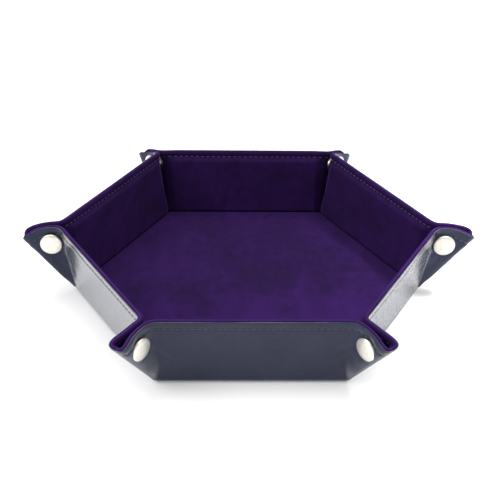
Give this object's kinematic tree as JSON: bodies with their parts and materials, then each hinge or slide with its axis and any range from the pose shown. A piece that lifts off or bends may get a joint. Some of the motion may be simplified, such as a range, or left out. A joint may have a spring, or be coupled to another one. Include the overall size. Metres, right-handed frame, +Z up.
{
  "type": "folding dice tray",
  "caption": "Hexagonal folding dice tray with stiffened faux-leather walls, velvet lining and snap-fastened corner ears that open so the tray lies flat.",
  "frame": {"origin": "centre of the underside, on the table plane", "axes": "+Z up through the open top, -Y towards the front wall, X along the front wall towards two opposite corners"},
  "size_m": [0.257, 0.2234, 0.044],
  "materials": {
    "leather": "smooth pebbled faux leather, satin",
    "velvet": "short-pile velvet, matt with sheen",
    "board": "grey-brown stiffening board",
    "nickel": "satin nickel plate"
  },
  "bodies": {
    "base": {"base_leather": "leather", "base_board": "board", "base_lining": "velvet"},
    "wall_1": {"wall_1_leather": "leather", "wall_1_board": "board", "wall_1_lining": "velvet"},
    "wall_2": {"wall_2_leather": "leather", "wall_2_board": "board", "wall_2_lining": "velvet"},
    "wall_3": {"wall_3_leather": "leather", "wall_3_board": "board", "wall_3_lining": "velvet"},
    "wall_4": {"wall_4_leather": "leather", "wall_4_board": "board", "wall_4_lining": "velvet"},
    "wall_5": {"wall_5_leather": "leather", "wall_5_board": "board", "wall_5_lining": "velvet"},
    "wall_6": {"wall_6_leather": "leather", "wall_6_board": "board", "wall_6_lining": "velvet"},
    "corner_1_stud_half": {"corner_1_stud_flap": "leather", "corner_1_stud": "nickel", "corner_1_stud_cap": "nickel"},
    "corner_1_socket_half": {"corner_1_socket_flap": "leather", "corner_1_socket": "nickel", "corner_1_socket_cap": "nickel"},
    "corner_2_stud_half": {"corner_2_stud_flap": "leather", "corner_2_stud": "nickel", "corner_2_stud_cap": "nickel"},
    "corner_2_socket_half": {"corner_2_socket_flap": "leather", "corner_2_socket": "nickel", "corner_2_socket_cap": "nickel"},
    "corner_3_stud_half": {"corner_3_stud_flap": "leather", "corner_3_stud": "nickel", "corner_3_stud_cap": "nickel"},
    "corner_3_socket_half": {"corner_3_socket_flap": "leather", "corner_3_socket": "nickel", "corner_3_socket_cap": "nickel"},
    "corner_4_stud_half": {"corner_4_stud_flap": "leather", "corner_4_stud": "nickel", "corner_4_stud_cap": "nickel"},
    "corner_4_socket_half": {"corner_4_socket_flap": "leather", "corner_4_socket": "nickel", "corner_4_socket_cap": "nickel"},
    "corner_5_stud_half": {"corner_5_stud_flap": "leather", "corner_5_stud": "nickel", "corner_5_stud_cap": "nickel"},
    "corner_5_socket_half": {"corner_5_socket_flap": "leather", "corner_5_socket": "nickel", "corner_5_socket_cap": "nickel"},
    "corner_6_stud_half": {"corner_6_stud_flap": "leather", "corner_6_stud": "nickel", "corner_6_stud_cap": "nickel"},
    "corner_6_socket_half": {"corner_6_socket_flap": "leather", "corner_6_socket": "nickel", "corner_6_socket_cap": "nickel"}
  },
  "joints": [
    {"name": "wall_1_fold", "type": "hinge", "parent": "base", "child": "wall_1", "pos_m": [0, -0.0866, 0.0005], "axis": [1, 0, 0], "range_deg": [0, 76]},
    {"name": "wall_2_fold", "type": "hinge", "parent": "base", "child": "wall_2", "pos_m": [0.075, -0.0433, 0.0005], "axis": [0.5, 0.866, 0], "range_deg": [0, 76]},
    {"name": "wall_3_fold", "type": "hinge", "parent": "base", "child": "wall_3", "pos_m": [0.075, 0.0433, 0.0005], "axis": [-0.5, 0.866, 0], "range_deg": [0, 76]},
    {"name": "wall_4_fold", "type": "hinge", "parent": "base", "child": "wall_4", "pos_m": [0, 0.0866, 0.0005], "axis": [-1, 0, 0], "range_deg": [0, 76]},
    {"name": "wall_5_fold", "type": "hinge", "parent": "base", "child": "wall_5", "pos_m": [-0.075, 0.0433, 0.0005], "axis": [-0.5, -0.866, 0], "range_deg": [0, 76]},
    {"name": "wall_6_fold", "type": "hinge", "parent": "base", "child": "wall_6", "pos_m": [-0.075, -0.0433, 0.0005], "axis": [0.5, -0.866, 0], "range_deg": [0, 76]},
    {"name": "corner_1_stud_fold", "type": "hinge", "parent": "wall_1", "child": "corner_1_stud_half", "pos_m": [0.05, -0.0866, 0.0005], "axis": [0, -0.1736, 0.9848], "range_deg": [0, 50]},
    {"name": "corner_1_socket_fold", "type": "hinge", "parent": "wall_2", "child": "corner_1_socket_half", "pos_m": [0.05, -0.0866, 0.0005], "axis": [-0.1504, 0.0868, -0.9848], "range_deg": [0, 66]},
    {"name": "corner_2_stud_fold", "type": "hinge", "parent": "wall_2", "child": "corner_2_stud_half", "pos_m": [0.1, 0, 0.0005], "axis": [0.1504, -0.0868, 0.9848], "range_deg": [0, 58]},
    {"name": "corner_2_socket_fold", "type": "hinge", "parent": "wall_3", "child": "corner_2_socket_half", "pos_m": [0.1, 0, 0.0005], "axis": [-0.1504, -0.0868, -0.9848], "range_deg": [0, 58]},
    {"name": "corner_3_stud_fold", "type": "hinge", "parent": "wall_3", "child": "corner_3_stud_half", "pos_m": [0.05, 0.0866, 0.0005], "axis": [0.1504, 0.0868, 0.9848], "range_deg": [0, 66]},
    {"name": "corner_3_socket_fold", "type": "hinge", "parent": "wall_4", "child": "corner_3_socket_half", "pos_m": [0.05, 0.0866, 0.0005], "axis": [0, -0.1736, -0.9848], "range_deg": [0, 50]},
    {"name": "corner_4_stud_fold", "type": "hinge", "parent": "wall_4", "child": "corner_4_stud_half", "pos_m": [-0.05, 0.0866, 0.0005], "axis": [0, 0.1736, 0.9848], "range_deg": [0, 50]},
    {"name": "corner_4_socket_fold", "type": "hinge", "parent": "wall_5", "child": "corner_4_socket_half", "pos_m": [-0.05, 0.0866, 0.0005], "axis": [0.1504, -0.0868, -0.9848], "range_deg": [0, 66]},
    {"name": "corner_5_stud_fold", "type": "hinge", "parent": "wall_5", "child": "corner_5_stud_half", "pos_m": [-0.1, 0, 0.0005], "axis": [-0.1504, 0.0868, 0.9848], "range_deg": [0, 58]},
    {"name": "corner_5_socket_fold", "type": "hinge", "parent": "wall_6", "child": "corner_5_socket_half", "pos_m": [-0.1, 0, 0.0005], "axis": [0.1504, 0.0868, -0.9848], "range_deg": [0, 58]},
    {"name": "corner_6_stud_fold", "type": "hinge", "parent": "wall_6", "child": "corner_6_stud_half", "pos_m": [-0.05, -0.0866, 0.0005], "axis": [-0.1504, -0.0868, 0.9848], "range_deg": [0, 66]},
    {"name": "corner_6_socket_fold", "type": "hinge", "parent": "wall_1", "child": "corner_6_socket_half", "pos_m": [-0.05, -0.0866, 0.0005], "axis": [0, 0.1736, -0.9848], "range_deg": [0, 50]}
  ],
  "couplings": [
    {"joint": "wall_2_fold", "follows": "wall_1_fold", "ratio": 1},
    {"joint": "wall_3_fold", "follows": "wall_1_fold", "ratio": 1},
    {"joint": "wall_4_fold", "follows": "wall_1_fold", "ratio": 1},
    {"joint": "wall_5_fold", "follows": "wall_1_fold", "ratio": 1},
    {"joint": "wall_6_fold", "follows": "wall_1_fold", "ratio": 1},
    {"joint": "corner_1_stud_fold", "follows": "wall_1_fold", "ratio": 0.65132},
    {"joint": "corner_1_socket_fold", "follows": "wall_1_fold", "ratio": 0.86184},
    {"joint": "corner_2_stud_fold", "follows": "wall_1_fold", "ratio": 0.75658},
    {"joint": "corner_2_socket_fold", "follows": "wall_1_fold", "ratio": 0.75658},
    {"joint": "corner_3_stud_fold", "follows": "wall_1_fold", "ratio": 0.86184},
    {"joint": "corner_3_socket_fold", "follows": "wall_1_fold", "ratio": 0.65132},
    {"joint": "corner_4_stud_fold", "follows": "wall_1_fold", "ratio": 0.65132},
    {"joint": "corner_4_socket_fold", "follows": "wall_1_fold", "ratio": 0.86184},
    {"joint": "corner_5_stud_fold", "follows": "wall_1_fold", "ratio": 0.75658},
    {"joint": "corner_5_socket_fold", "follows": "wall_1_fold", "ratio": 0.75658},
    {"joint": "corner_6_stud_fold", "follows": "wall_1_fold", "ratio": 0.86184},
    {"joint": "corner_6_socket_fold", "follows": "wall_1_fold", "ratio": 0.65132}
  ]
}
